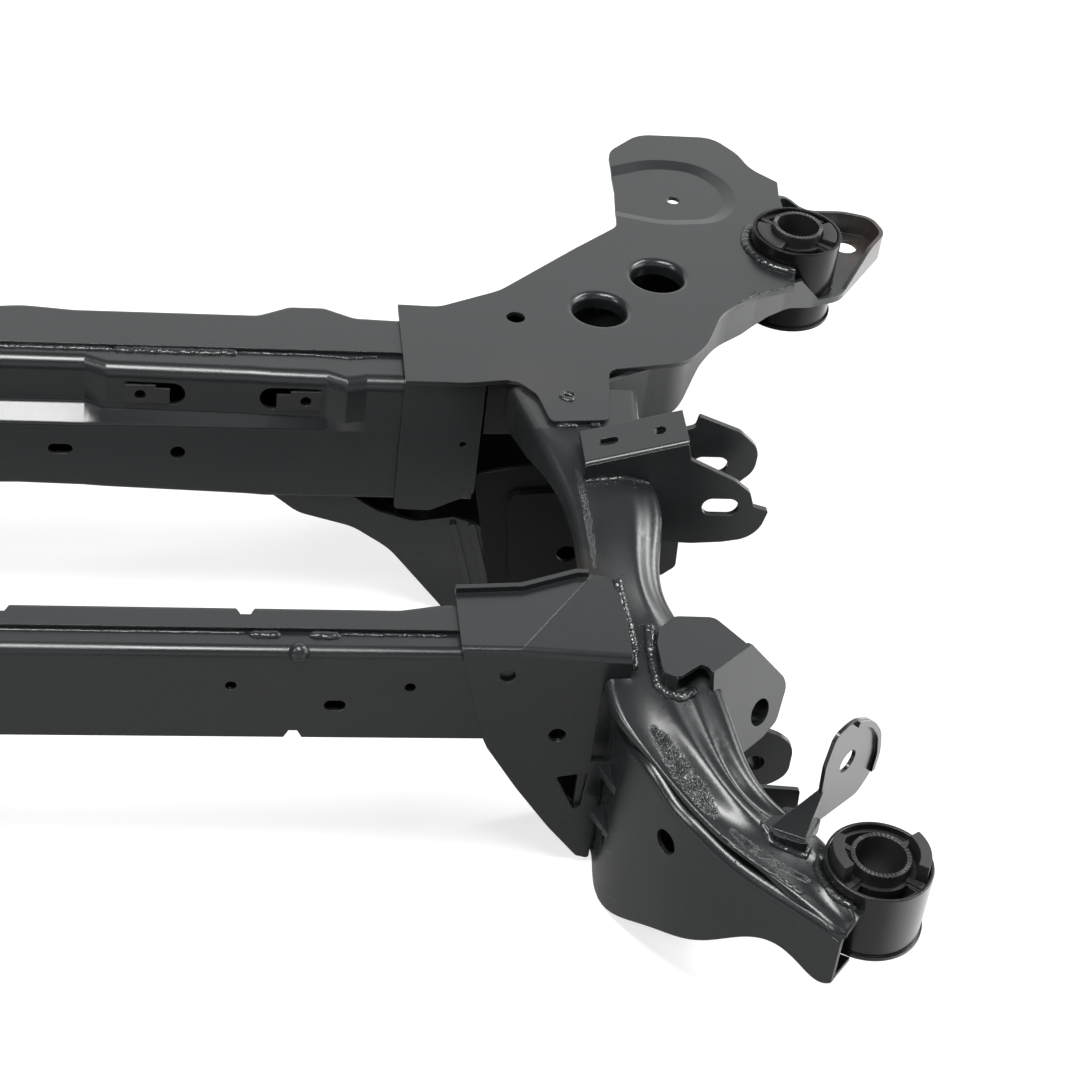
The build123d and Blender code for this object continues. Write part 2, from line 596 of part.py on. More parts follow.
def arm_lower():
    """Floor and outboard wall that close the arm from below, butted to the bushing can."""
    rights = [(413, 134), (418.5, 121), (424, 108), (431, 84), (436, 62), (446, 50), (460, 38), (475, 28),
              (483, 18), (491, 4), (499, -18)]
    sections = []
    t = SHEET
    for (point, low, top), right in zip(arm_stations(), rights):
        anchor = point(SHEET + 3 * GAP, 0)
        spot, span = station((anchor.X, anchor.Y), right)
        base = rail_height((anchor.Y + right[1]) / 2)
        span -= t + 1
        ring = [(0, low + 1), (span, low + 1), (span, base - t - 2.5), (span - t, base - t - 2.5),
                (span - t, low + 1 + t), (0, low + 1 + t)]
        sections.append(Face(Wire(Polyline(*[spot(s, z) for s, z in ring], close=True))))
    body = loft(sections, ruled=True)
    return body - can_cutter(FRONT_BUSH, FRONT_CAN_HEIGHT)


# Link brackets, stop plate and line tab
def link_flange_height(x):
    """Underside of the upper link flange: it climbs outboard from the rail."""
    return RAIL_HIGH[1] + 0.5 + (x - 356) * 0.3


def upper_link_bracket():
    near, far = LINK_NEAR_EAR, LINK_FAR_EAR - 10
    t = EAR_SHEET
    low = link_flange_height
    flange = front_block([(356, low(356)), (420, low(420)), (420, low(420) + t), (356, low(356) + t)],
                         near, far)
    edge = flange.edges().filter_by(lambda e: e.center().Y < near + 0.1 and e.center().Z > low(388) + 1
                                    and e.length > 20)
    flange = fillet(edge, 3)
    ear = front_block([(356, low(356) + 2), (420, low(420) + 2), (423, 231, 3), (454, 215, 10),
                       (465, 206, 6), (469, 194.5, 1.5), (479, 191.5, 1.5), (474, 170, 20), (452, 165.5, 12),
                       (432, 164, 8), (410, 165), (356, 196)], near, near + t)
    body = flange + ear
    body -= slot_y(447, LINK_BOLT_Z, 24, 13.5, near - 5, near + 10)
    for x, length in ((373, 13), (405, 8.4)):
        tilt = Pos(x, near + 18, low(x)) * Rot(0, -16.7, 0)
        hole = extrude(SlotOverall(length, 7.4), 20, both=True) if length > 10 else Cylinder(4, 40)
        body -= tilt * hole
    return body - rail_block(-GAP, 60)


def upper_link_rear_ear():
    near, t = LINK_FAR_EAR, EAR_SHEET
    ear = front_block([(392, 219), (420, 227, 4), (427, 222, 4), (433.5, 224.5, 3), (435, 233, 1),
                       (464, 221, 14), (478, 208, 16), (477, 190, 16), (466, 178, 10), (448, 169, 14),
                       (434, 160, 8), (436, 108, 6), (427, 100, 4), (408, 99, 3), (404, 150), (392, 150)],
                      near, near + t)
    ear -= slot_y(447, LINK_BOLT_Z, 24, 13.5, near - 5, near + 10)
    return ear - rail_block(-GAP, 60)


def lower_link_bracket():
    t = SHEET
    top = 190.0
    lid = plan_block([(389, 146, 6), (392, 160, 8), (403, 172, 8), (428, 171.5, 8), (446, 145),
                      (419.5, 121.5), (415, 129.5, 4), (405, 122, 4), (398, 116, 4), (389.5, 121, 4)],
                     top - t, top)
    plane = Plane(origin=(446, 145, top), x_dir=(26, 24, 0), z_dir=(24, -26, 9))
    flap = [(-35, 3), (-37, -12, 3), (-30, -60, 10), (-18, -71, 8), (8, -70, 10), (22, -66, 8),
            (34, -46, 10), (31, -38, 8), (0, 3)]
    apron = extrude(plane * outline(flap), -t) - plan_block(
        [(380, 60), (520, 60), (520, 220), (380, 220)], top, top + 20)
    bolt = plane * Pos(6, -51, 0)
    apron += bolt * Pos(0, 0, -t - NUT_HEIGHT / 2) * Cylinder(FLAP_HOLE + 4, NUT_HEIGHT)
    apron -= bolt * Cylinder(FLAP_HOLE, 60)
    foot = plan_block([(389, 146), (389.5, 121), (398, 116), (398, 119.5), (392.5, 123), (392.5, 146)],
                      164, top - 1)
    return lid + apron + foot - rail_block(-GAP, 60)


def lower_link_ear():
    near = 148.0
    far = near + EAR_SHEET
    shape = [(417, 70), (417, 117), (474, 117, 28), (488, 104, 16), (488, 80, 15), (476, 70, 17)]
    body = front_block(shape, near, far) + drill_y(465, 90, EAR_HOLE + 4, far, far + NUT_HEIGHT)
    body -= drill_y(465, 90, EAR_HOLE, near - 5, far + NUT_HEIGHT + 5)
    wing = plan_block([(415, 152), (424, 121), (427, 121.9), (418, 152.9)], 70, 180)
    wing &= side_block([(115, 70), (160, 70), (160, 166.6), (115, 158.3)], 400, 440)
    return body + wing - rail_block(-GAP, 0)


def stop_plate():
    body = front_block([(434, 118), (458, 118, 5), (469, 134, 5), (468, 152, 2), (434, 155)], 60, 63)
    return body - rail_block(-GAP, 60)


def line_tab():
    """Foot on the rail, fold, and an upright leaf with a rim along its outboard edge."""
    across = Vector(0.72, 0.69, 0).normalized()
    plane = Plane(origin=(473, 34, 0), x_dir=across, z_dir=(0.69, -0.72, 0))
    leaf_edge = [(0, 151.5), (-4, 198, 12), (1, 219, 8), (19, 221, 26), (39, 209, 34), (51, 193, 30),
                 (56, 174, 26), (54, 156, 14), (42, 147, 10)]
    leaf = extrude(plane * outline(leaf_edge), -2.5)
    rim_edge = [(21, 219.2), (39, 209, 34), (51, 193, 30), (56, 174, 26), (54.4, 160), (51, 160),
                (52.5, 174, 22), (47.8, 191, 26), (37, 205.5, 30), (20, 215.5)]
    leaf += extrude(plane * outline(rim_edge), 2.2)
    leaf -= plane * Pos(21, 187, 0) * Cylinder(7.6, 30)
    foot = plan_block([(441, 31, 4), (446, 20, 4), (463, 13, 3), (475, 33), (470, 41), (455, 44, 4)],
                      145, 154.5)
    low_end = [(443, 27, 154), (462, 17, 153), (462, 17, 150), (443, 27, 150)]
    high_end = [(473, 34, 178), (473, 34, 152), (471.27, 35.8, 152), (471.27, 35.8, 178)]
    ramp = loft([Face(Wire(Polyline(*ring, close=True))) for ring in (low_end, high_end)], ruled=True)
    return foot + leaf + ramp - rail_block(-GAP, 60)


# Collect: centre pieces once, side pieces on the right and mirrored to the left
CENTRE = {
    "front_crossmember_channel": front_channel(),
    "front_crossmember_closing_plate": front_closing_plate(),
    "rear_crossmember_channel": rear_channel(),
    "rear_crossmember_closing_plate": rear_closing_plate(),
    "clip_nuts": clip_nuts()}
SIDE = {
    "rear_upper_plate": upper_plate(),
    "rear_lower_shell": lower_shell(),
    "rear_corner_plate": rear_corner_plate(),
    "pocket_rear_wall": pocket_rear_wall(),
    "lower_gusset": lower_gusset(),
    "pocket_back_wall": pocket_back_wall(),
    "side_rail": side_rail(),
    "rail_closing_plate": rail_closing_plate(),
    "front_corner_plate": corner_plate(),
    "front_corner_back_plate": corner_back_plate(),
    "front_outer_plate": outer_plate(),
    "front_arm_lower": arm_lower(),
    "upper_link_bracket": upper_link_bracket(),
    "upper_link_rear_ear": upper_link_rear_ear(),
    "lower_link_bracket": lower_link_bracket(),
    "lower_link_ear": lower_link_ear(),
    "arm_stop_plate": stop_plate(),
    "line_tab": line_tab(),
    "front_bush_can": Pos(*FRONT_BUSH) * bush_can(FRONT_CAN_HEIGHT),
    "front_bush_rubber": Pos(*FRONT_BUSH) * bush_rubber(True, FRONT_CAN_HEIGHT),
    "front_bush_sleeve": Pos(*FRONT_BUSH) * bush_sleeve(FRONT_CAN_HEIGHT),
    "rear_bush_can": Pos(*REAR_BUSH) * bush_can(REAR_CAN_HEIGHT),
    "rear_bush_rubber": Pos(*REAR_BUSH) * bush_rubber(False, REAR_CAN_HEIGHT),
    "rear_bush_sleeve": Pos(*REAR_BUSH) * bush_sleeve(REAR_CAN_HEIGHT)}

place = Pos(0, -(FRONT_Y + REAR_Y) / 2, -FLOOR_Z)
for name, shape in CENTRE.items():
    export_step(place * shape, f"parts/{name}.step")
for name, shape in SIDE.items():
    export_step(place * shape, f"parts/right_{name}.step")
    export_step(place * mirror(shape, Plane.YZ), f"parts/left_{name}.step")
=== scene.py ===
"""Looks of a welded pressed-steel rear subframe: coats, weld seams, bushings and a plain studio."""

import json
import logging
import math
import random
from dataclasses import dataclass
from enum import Enum
from functools import cache

import bpy
from mathutils import Matrix, Vector, noise
from mathutils.bvhtree import BVHTree


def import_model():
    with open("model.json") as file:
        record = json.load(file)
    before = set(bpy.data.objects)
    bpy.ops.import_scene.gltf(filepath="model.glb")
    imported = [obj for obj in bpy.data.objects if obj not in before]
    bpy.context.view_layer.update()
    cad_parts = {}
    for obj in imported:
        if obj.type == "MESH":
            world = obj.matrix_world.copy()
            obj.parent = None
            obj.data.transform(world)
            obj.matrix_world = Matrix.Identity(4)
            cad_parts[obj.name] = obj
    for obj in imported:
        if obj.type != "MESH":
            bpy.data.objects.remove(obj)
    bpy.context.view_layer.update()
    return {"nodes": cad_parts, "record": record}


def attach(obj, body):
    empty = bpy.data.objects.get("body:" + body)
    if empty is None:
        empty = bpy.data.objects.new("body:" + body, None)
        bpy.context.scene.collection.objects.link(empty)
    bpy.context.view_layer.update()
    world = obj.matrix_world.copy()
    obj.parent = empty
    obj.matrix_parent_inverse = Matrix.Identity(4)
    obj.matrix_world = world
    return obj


LOG = logging.getLogger("subframe")
SHIFT = Vector((0.0, -320.0, -21.0))     # from the drawing's origin to the frame's, in millimetres
PER_METRE = 1000.0                       # drawing millimetres in a metre
UP = Vector((0.0, 0.0, 1.0))
DOWN = Vector((0.0, 0.0, -1.0))
FRONT_CAN = (503.5, 0.0)                 # bushing axes of the right half on the drawing
REAR_CAN = (537.9, 540.7)

Point = tuple[float, float, float]
Colour = tuple[float, float, float]


def place(x: float, y: float, z: float) -> Vector:
    """Turn a drawing point in millimetres into metres in the frame.

    Args:
        x: across the vehicle.
        y: rearward from the front bushing axes.
        z: up.

    Returns:
        The same point in the frame.
    """
    return (Vector((x, y, z)) + SHIFT) / PER_METRE


def deselect() -> None:
    """Leave nothing selected, so that an operator acts on the new piece only."""
    bpy.ops.object.select_all(action="DESELECT")


def blank_curve(dimensions: str) -> bpy.types.Curve:
    """Add a curve object without any splines.

    Args:
        dimensions: "2D" or "3D".

    Returns:
        The data of the new active object.
    """
    deselect()
    bpy.ops.curve.primitive_nurbs_path_add(location=(0, 0, 0))
    curve = bpy.context.object.data
    curve.splines.clear()
    curve.dimensions = dimensions
    return curve


def modify(piece: bpy.types.Object, name: str, kind: str, **settings: object) -> None:
    """Add one modifier to the active piece and apply it.

    Args:
        piece: the active object.
        name: the modifier's name.
        kind: its type.
        settings: its properties.
    """
    modifier = piece.modifiers.new(name, kind)
    for key, value in settings.items():
        setattr(modifier, key, value)
    bpy.ops.object.modifier_apply(modifier=modifier.name)


class Side(Enum):
    """The two mirrored halves."""

    RIGHT = 1
    LEFT = -1


class Slot(Enum):
    """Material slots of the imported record."""

    FRAME = "frame_coat"
    CAN = "can_coat"
    RUBBER = "rubber"
    SLEEVE = "sleeve_steel"
    CLIP = "clip_steel"


class Tree:
    """Places nodes in one shader tree and joins their sockets."""

    def __init__(self, tree: bpy.types.NodeTree) -> None:
        """Keep the tree that the nodes go into."""
        self.tree = tree

    @classmethod
    def of(cls, owner: bpy.types.Material | bpy.types.World) -> "Tree":
        """Empty the shader tree of a material or a world."""
        owner.use_nodes = True
        owner.node_tree.nodes.clear()
        return cls(owner.node_tree)

    def add(self, kind: str, inputs: dict | None = None, **settings: object) -> bpy.types.Node:
        """Add one node.

        Args:
            kind: the node's type name.
            inputs: socket name or number to a value or to an output socket.
            settings: properties of the node.

        Returns:
            The new node.
        """
        node = self.tree.nodes.new(kind)
        for name, value in settings.items():
            setattr(node, name, value)
        for socket, value in (inputs or {}).items():
            if isinstance(value, bpy.types.NodeSocket):
                self.link(value, node.inputs[socket])
            else:
                node.inputs[socket].default_value = value
        return node

    def link(self, source: bpy.types.NodeSocket, target: bpy.types.NodeSocket) -> None:
        """Join an output socket to an input socket."""
        self.tree.links.new(source, target)

    def effect(self, tree: bpy.types.NodeTree, inputs: dict) -> bpy.types.Node:
        """Place one shared effect and feed it."""
        return self.add("ShaderNodeGroup", inputs, node_tree=tree)

    def maths(self, operation: str, a: object, b: object = 0.0) -> bpy.types.NodeSocket:
        """Result of one Math node."""
        return self.add("ShaderNodeMath", {0: a, 1: b}, operation=operation).outputs[0]

    def ramp(self, value: object, low: float, high: float, start: float = 0.0,
             end: float = 1.0) -> bpy.types.NodeSocket:
        """Smooth step from one value to another.

        Args:
            value: what is looked at.
            low: where the step starts.
            high: where it ends.
            start: what is given out below it.
            end: what is given out above it.

        Returns:
            The result's socket.
        """
        node = self.add("ShaderNodeMapRange", {"Value": value, "From Min": low, "From Max": high,
                                               "To Min": start, "To Max": end},
                        interpolation_type="SMOOTHSTEP")
        return node.outputs["Result"]

    def noise(self, where: object, scale: float, detail: float = 3.0,
              rough: float = 0.5) -> bpy.types.NodeSocket:
        """Noise value over a position.

        Args:
            where: the position's socket.
            scale: grains per metre.
            detail: number of finer layers.
            rough: how strong they are.

        Returns:
            The value's socket.
        """
        node = self.add("ShaderNodeTexNoise", {"Vector": where, "Scale": scale, "Detail": detail,
                                               "Roughness": rough})
        return node.outputs["Fac"]

    def blend(self, factor: object, a: object, b: object) -> bpy.types.NodeSocket:
        """Mix of two colours."""
        return self.add("ShaderNodeMix", {0: factor, 6: a, 7: b}, data_type="RGBA").outputs[2]


class Effects:
    """Shader groups that more than one finish uses, each built once."""

    @staticmethod
    def group(name: str, inputs: dict[str, tuple[str, object]],
              outputs: dict[str, str]) -> tuple[Tree, bpy.types.Node, bpy.types.Node]:
        """Start a group with named sockets.

        Args:
            name: the group's name.
            inputs: socket name to its kind and default.
            outputs: socket name to its kind.

        Returns:
            The tree helper, the group's input node and its output node.
        """
        tree = bpy.data.node_groups.new(name, "ShaderNodeTree")
        for label, (kind, default) in inputs.items():
            socket = tree.interface.new_socket(label, in_out="INPUT", socket_type=f"NodeSocket{kind}")
            if default is not None:
                socket.default_value = default
        for label, kind in outputs.items():
            tree.interface.new_socket(label, in_out="OUTPUT", socket_type=f"NodeSocket{kind}")
        helper = Tree(tree)
        return helper, helper.add("NodeGroupInput"), helper.add("NodeGroupOutput")

    @staticmethod
    @cache
    def edge_wear() -> bpy.types.NodeTree:
        """Mask the sheet's edges and sharp folds, broken up by noise.

        Returns:
            The group, which also gives out the rounded normal.
        """
        t, given, out = Effects.group(
            "edge_wear",
            {"Place": ("Vector", None), "Width": ("Float", 0.0008), "Break": ("Float", 0.4)},
            {"Mask": "Float", "Normal": "Vector"})
        rounded = t.add("ShaderNodeBevel", {"Radius": given.outputs["Width"]}, samples=4)
        flat = t.add("ShaderNodeNewGeometry").outputs["Normal"]
        facing = t.add("ShaderNodeVectorMath", {0: rounded.outputs[0], 1: flat}, operation="DOT_PRODUCT")
        turned = t.ramp(t.maths("SUBTRACT", 1.0, facing.outputs["Value"]), low=0.02, high=0.22)
        grain = t.noise(given.outputs["Place"], scale=160.0, detail=4.0, rough=0.6)
        patchy = t.ramp(grain, low=0.35, high=0.62)
        kept = t.add("ShaderNodeMix", {0: given.outputs["Break"], 2: 1.0, 3: patchy}).outputs[0]
        t.link(t.maths("MULTIPLY", turned, kept), out.inputs["Mask"])
        t.link(rounded.outputs[0], out.inputs["Normal"])
        return t.tree

    @staticmethod
    @cache
    def mottle() -> bpy.types.NodeTree:
        """Swing one colour in broad clouds and fine specks, like the uneven film of a dip coat.

        Returns:
            The group, which also gives out the clouds.
        """
        t, given, out = Effects.group(
            "mottle",
            {"Place": ("Vector", None), "Colour": ("Color", (0.03, 0.03, 0.03, 1)), "Depth": ("Float", 0.3)},
            {"Colour": "Color", "Cloud": "Float"})
        cloud = t.noise(given.outputs["Place"], scale=9.0, detail=4.0, rough=0.55)
        speck = t.ramp(t.noise(given.outputs["Place"], scale=620.0, detail=2.0), low=0.66, high=0.80)
        swing = t.maths("MULTIPLY", t.maths("SUBTRACT", cloud, 0.5), given.outputs["Depth"])
        gain = t.maths("ADD", t.maths("ADD", 1.0, swing), t.maths("MULTIPLY", speck, 0.35))
        tinted = t.add("ShaderNodeVectorMath", {0: given.outputs["Colour"], "Scale": gain}, operation="SCALE")
        t.link(tinted.outputs["Vector"], out.inputs["Colour"])
        t.link(cloud, out.inputs["Cloud"])
        return t.tree

    @staticmethod
    @cache
    def peel() -> bpy.types.NodeTree:
        """Add up the coat's orange peel, the rolled sheet's faint waves and dust.

        Returns:
            The group, which gives out a height.
        """
        t, given, out = Effects.group("peel", {"Place": ("Vector", None), "Fine": ("Float", 0.5)},
                                      {"Height": "Float"})
        fine = t.noise(given.outputs["Place"], scale=700.0, detail=3.0)
        wave = t.noise(given.outputs["Place"], scale=38.0, detail=2.0)
        dust = t.ramp(t.noise(given.outputs["Place"], scale=1500.0, detail=1.0), low=0.70, high=0.82)
        height = t.maths("ADD", t.maths("MULTIPLY", fine, given.outputs["Fine"]),
                         t.maths("MULTIPLY", wave, 2.0))
        t.link(t.maths("ADD", height, t.maths("MULTIPLY", dust, 0.9)), out.inputs["Height"])
        return t.tree

    @staticmethod
    @cache
    def brown_patch() -> bpy.types.NodeTree:
        """Mask a soft round patch at one place on both halves, its rim broken up by noise.

        Returns:
            The group.
        """
        t, given, out = Effects.group(
            "brown_patch",
            {"Place": ("Vector", None), "Centre": ("Vector", (0.0, 0.0, 0.0)), "Radius": ("Float", 0.02)},
            {"Mask": "Float"})
        split = t.add("ShaderNodeSeparateXYZ", {0: given.outputs["Place"]})
        both = t.add("ShaderNodeCombineXYZ", {0: t.maths("ABSOLUTE", split.outputs[0]),
                                              1: split.outputs[1], 2: split.outputs[2]})
        gap = t.add("ShaderNodeVectorMath", {0: both.outputs[0], 1: given.outputs["Centre"]},
                    operation="DISTANCE")
        share = t.maths("DIVIDE", gap.outputs["Value"], given.outputs["Radius"])
        grain = t.noise(given.outputs["Place"], scale=220.0, detail=4.0, rough=0.6)
        ragged = t.maths("ADD", share, t.maths("MULTIPLY", t.maths("SUBTRACT", grain, 0.5), 0.9))
        t.link(t.ramp(ragged, low=0.35, high=1.0, start=1.0, end=0.0), out.inputs["Mask"])
        return t.tree


@dataclass(frozen=True)
class BrownPatch:
    """A soft, lighter brown patch in the coat; most stand for painted brownish reflections.

    Attributes:
        centre: its place on the drawing.
        radius: in millimetres.
        strength: how far it covers the coat.
        roughening: how much rougher it is.
    """

    centre: Point
    radius: float
    strength: float
    roughening: float = 0.12


@dataclass(frozen=True)
class Coat:
    """A thin dip or spray coat over steel, or plain rubber.

    Attributes:
        name: the material's name.
        colour: its colour.
        roughness: its roughness, a little more where the film is thick.
        clouds: how much the colour swings between thin and thick film.
        wear: how far the bare steel shows at the edges.
        wear_gaps: how much of that is broken up.
        edge: how far the edges look rounded, in metres.
        bump: strength of the orange peel.
        relief: its height in metres.
        grain: share of the finest grain in it.
        mirror: how strong the reflections are, where 0.5 is plain.
        density: index of refraction of the film.
        brown_patches: the brown patches on it, mostly painted brownish reflections.
        brown_patch_colour: their colour.
        bare: colour of the bare steel.
    """

    name: str
    colour: Colour
    roughness: float = 0.36
    clouds: float = 0.25
    wear: float = 0.35
    wear_gaps: float = 0.75
    edge: float = 0.0007
    bump: float = 0.10
    relief: float = 0.0002
    grain: float = 0.5
    mirror: float = 0.5
    density: float = 1.52
    brown_patches: tuple[BrownPatch, ...] = ()
    brown_patch_colour: Colour = (0.11, 0.075, 0.055)
    bare: Colour = (0.16, 0.165, 0.165)

    def build(self) -> bpy.types.Material:
        """Make the material.

        Returns:
            The new material.
        """
        material = bpy.data.materials.new(self.name)
        t = Tree.of(material)
        shader = t.add("ShaderNodeBsdfPrincipled", {"IOR": self.density, "Specular IOR Level": self.mirror})
        t.add("ShaderNodeOutputMaterial", {0: shader.outputs[0]})
        where = t.add("ShaderNodeTexCoord").outputs["Object"]
        film = t.effect(Effects.mottle(), {"Place": where, "Colour": (*self.colour, 1),
                                           "Depth": self.clouds})
        edge = t.effect(Effects.edge_wear(), {"Place": where, "Width": self.edge, "Break": self.wear_gaps})
        worn = t.maths("MULTIPLY", edge.outputs["Mask"], self.wear)
        colour = t.blend(worn, film.outputs["Colour"], (*self.bare, 1))
        rough = t.ramp(film.outputs["Cloud"], low=0.3, high=0.7, start=self.roughness - 0.03,
                       end=self.roughness + 0.05)
        # Brown patches: lighter brown painted reflections on the rail, and a lighter brown patch on the tray
        # wall
        for brown_patch in self.brown_patches:
            spot = t.effect(Effects.brown_patch(), {"Place": where, "Centre": tuple(place(*brown_patch.centre)),
                                              "Radius": brown_patch.radius / PER_METRE})
            mask = t.maths("MULTIPLY", spot.outputs["Mask"], brown_patch.strength)
            colour = t.blend(mask, colour, (*self.brown_patch_colour, 1))
            rough = t.maths("ADD", rough, t.maths("MULTIPLY", mask, brown_patch.roughening))
        t.link(colour, shader.inputs["Base Color"])
        t.link(rough, shader.inputs["Roughness"])
        skin = t.effect(Effects.peel(), {"Place": where, "Fine": self.grain})
        bump = t.add("ShaderNodeBump", {"Strength": self.bump, "Distance": self.relief,
                                        "Height": skin.outputs["Height"], "Normal": edge.outputs["Normal"]})
        t.link(bump.outputs[0], shader.inputs["Normal"])
        return material


# Brown patches on the frame: the two on the rail are painted brownish reflections, the third is a lighter
# brown patch on the tray wall behind the rear can
BROWN_PATCHES = (
    BrownPatch((352, 210, 195), radius=18, strength=0.10),
    BrownPatch((331, 366, 205), radius=44, strength=0.05),
    BrownPatch((600, 578, 206), radius=34, strength=0.30))

FINISHES: dict[Slot, Coat] = {
    Slot.FRAME: Coat("black_dip_coat", (0.0115, 0.0135, 0.0145), roughness=0.26, brown_patches=BROWN_PATCHES),
    Slot.CAN: Coat("can_spray_coat", (0.010, 0.0105, 0.0105), roughness=0.24, wear=0.45, mirror=0.42),
    Slot.RUBBER: Coat("moulded_rubber", (0.010, 0.010, 0.010), roughness=0.50, wear=0.10, bump=0.35,
                      grain=1.2),
    Slot.SLEEVE: Coat("sleeve_coat", (0.018, 0.018, 0.018), roughness=0.28, wear=0.55),
    Slot.CLIP: Coat("clip_coat", (0.014, 0.015, 0.015), roughness=0.36, wear=0.3)}

# Painted shade: darker, less reflective coats stand in for the shade in the pockets and the dark reflections
# on the rear cans; the key is the node's name without its side
SHADED: dict[str, Coat] = {
    "pocket_rear_wall": Coat("thin_pocket_coat", (0.004, 0.0045, 0.0045), roughness=0.34, mirror=0.14,
                             wear=0.15),
    "pocket_back_wall": Coat("thin_back_coat", (0.004, 0.0045, 0.0045), roughness=0.34, mirror=0.14,
                             wear=0.15),
    "rear_bush_can": Coat("rear_can_coat", (0.006, 0.006, 0.006), roughness=0.22, mirror=0.14, wear=0.45)}

# Beads and rough patches; the tiny edge keeps their facets sharp
WELD = Coat("coated_weld", (0.017, 0.019, 0.020), roughness=0.18, wear=0.0, edge=0.00008, bump=0.5,
            grain=1.6)


class Skin:
    """The pressings' outer surface, for laying beads and spatter on it."""

    def __init__(self, nodes: dict[str, bpy.types.Object]) -> None:
        """Gather every packed triangle."""
        points: list[Vector] = []
        faces: list[tuple[int, ...]] = []
        for node in nodes.values():
            first = len(points)
            points += [v.co for v in node.data.vertices]
            faces += [tuple(first + i for i in face.vertices) for face in node.data.polygons]
        self.tree = BVHTree.FromPolygons(points, faces)

    def under(self, spot: Point, side: Side, reach: float = 9.0,
              depth: float = 2.2) -> tuple[Vector, Vector] | None:
        """Drop a drawing point on the surface below it.

        Args:
            spot: drawing point in millimetres, a few millimetres above the surface or in it.
            side: which half it lies on.
            reach: how far above the point the drop starts.
            depth: how far it goes at most, in reaches.

        Returns:
            The place in the frame and the surface's normal there, or None beyond the sheet's edge.
        """
        top = place(spot[0] * side.value, spot[1], spot[2] + reach)
        hit, normal, _, _ = self.tree.ray_cast(top, DOWN, depth * reach / PER_METRE)
        if hit is None:
            return None
        return hit, normal if normal.z > 0 else -normal


@dataclass(frozen=True)
class Seam:
    """One weld bead.

    Attributes:
        name: the piece's name, after its side.
        path: drawing points along it.
        width: the bead's width in millimetres.
        height: its height over the sheet.
        lumps: height of the crust's lumps.
        ripple: how much its size swings along it.
        wander: how far it strays from the path.
        only: the one side that it is made on, or None for both.
        spatter: number of drops tried beside it.
    """

    name: str
    path: tuple[Point, ...]
    width: float = 4.4
    height: float = 1.5
    lumps: float = 0.8
    ripple: float = 0.05
    wander: float = 0.4
    only: Side | None = None
    spatter: int = 0


@dataclass(frozen=True)
class Grit:
    """A finely rough coated patch.

    Attributes:
        name: the piece's name, after its side.
        path: drawing points along its middle, with its half width at each.
        rise: height of its tallest grains in millimetres.
        spacing: distance between its grid's rows.
        columns: grid points across it.
        fade: rows over which it runs out at each end.
        sink: how far its rim lies in the sheet.
        clump: how fast thick and thin places follow each other, per millimetre.
        share: mean share of the rise, and how far thick and thin places swing from it.
        thickness: of its sheet, in metres.
    """

    name: str
    path: tuple[tuple[Point, float], ...]
    rise: float = 0.8
    spacing: float = 0.45
    columns: int = 33
    fade: int = 12
    sink: float = 0.16
    clump: float = 0.12
    share: tuple[float, float] = (0.55, 0.45)
    thickness: float = 0.0003

    def rows(self) -> list[tuple[Vector, Vector, float]]:
        """Space the grid's rows along the path.

        Returns:
            The middle, the direction across and the half width of each row.
        """
        found = []
        for (start, wide), (end, wide_end) in zip(self.path, self.path[1:]):
            a, b = Vector(start), Vector(end)
            across = Vector(((b - a).y, -(b - a).x, 0.0)).normalized()
            count = max(int((b - a).length / self.spacing), 1)
            found += [(a.lerp(b, i / count), across, wide + (wide_end - wide) * i / count)
                      for i in range(count)]
        return found


